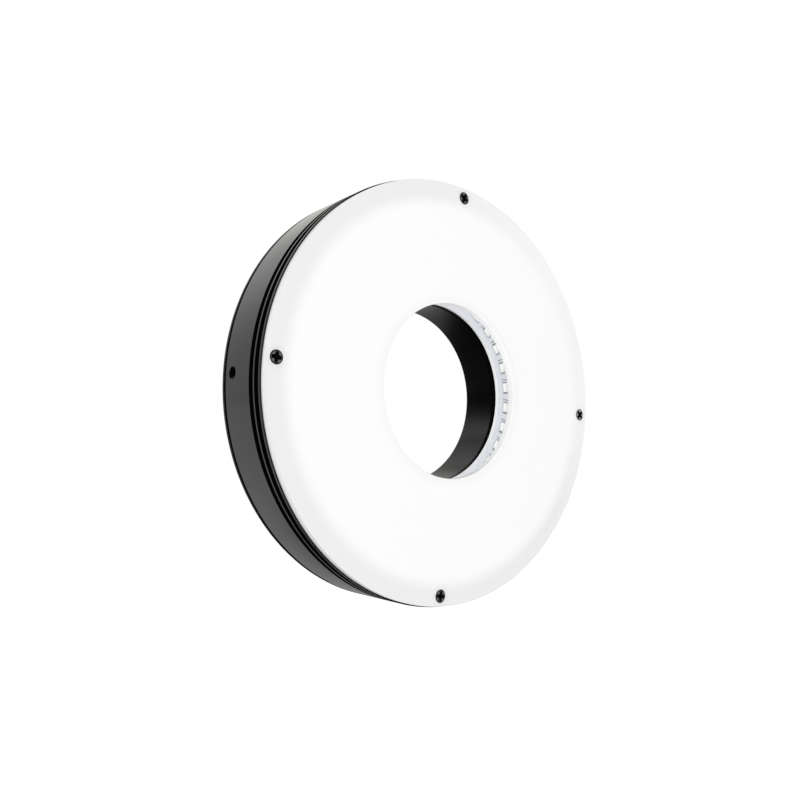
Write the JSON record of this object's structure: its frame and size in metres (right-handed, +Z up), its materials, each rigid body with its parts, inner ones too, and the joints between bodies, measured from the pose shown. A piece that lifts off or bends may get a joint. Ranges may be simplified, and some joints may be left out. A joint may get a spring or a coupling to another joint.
{
  "type": "machine vision ring light",
  "caption": "Flat diffused ring light for machine vision: black grooved housing, opal front ring, camera looks through the bore.",
  "frame": {"origin": "centre of the rear mounting face, on the bore axis", "axes": "-Y out of the light-giving front along the bore axis, +Y out of the rear face, +Z up, +X towards the cord gland"},
  "size_m": [0.1594, 0.027, 0.15],
  "materials": {
    "black_anodised": "satin black anodised",
    "black_steel": "black oxide",
    "opal_acrylic": "opal white, smooth face",
    "white_board": "white solder mask on an aluminium core",
    "grey_silicone": "soft filled silicone",
    "plated_steel": "zinc plated",
    "package_white": "moulded white",
    "phosphor": "pale phosphor gel",
    "tin": "tinned",
    "green_board": "glass laminate",
    "brass": "turned",
    "chip_black": "moulded epoxy",
    "capacitor_can": "drawn can",
    "white_nylon": "natural nylon",
    "red_sleeve": "wire insulation",
    "black_sleeve": "wire insulation",
    "black_nylon": "moulded nylon",
    "seal_rubber": "soft rubber"
  },
  "bodies": {
    "root": {"chip_resistors": "chip_black", "current_regulators": "chip_black", "diffuser_plate": "opal_acrylic", "diffuser_screws": "black_steel", "driver_board": "green_board", "driver_screws": "plated_steel", "driver_spacers": "brass", "filter_capacitor": "capacitor_can", "gland_body": "black_nylon", "gland_cap": "black_nylon", "gland_seal": "seal_rubber", "header_pins": "tin", "housing": "black_anodised", "input_header": "white_nylon", "lead_bush": "white_nylon", "lead_negative": "black_sleeve", "lead_positive": "red_sleeve", "led_board": "white_board", "led_board_screws": "plated_steel", "led_ring_1": "package_white", "led_ring_2": "package_white", "led_ring_3": "package_white", "led_ring_4": "package_white", "led_terminals_1": "tin", "led_windows_1": "phosphor", "protection_diode": "chip_black", "rear_cover": "black_anodised", "rear_cover_screws": "black_steel", "thermal_pad": "grey_silicone"}
  },
  "joints": []
}
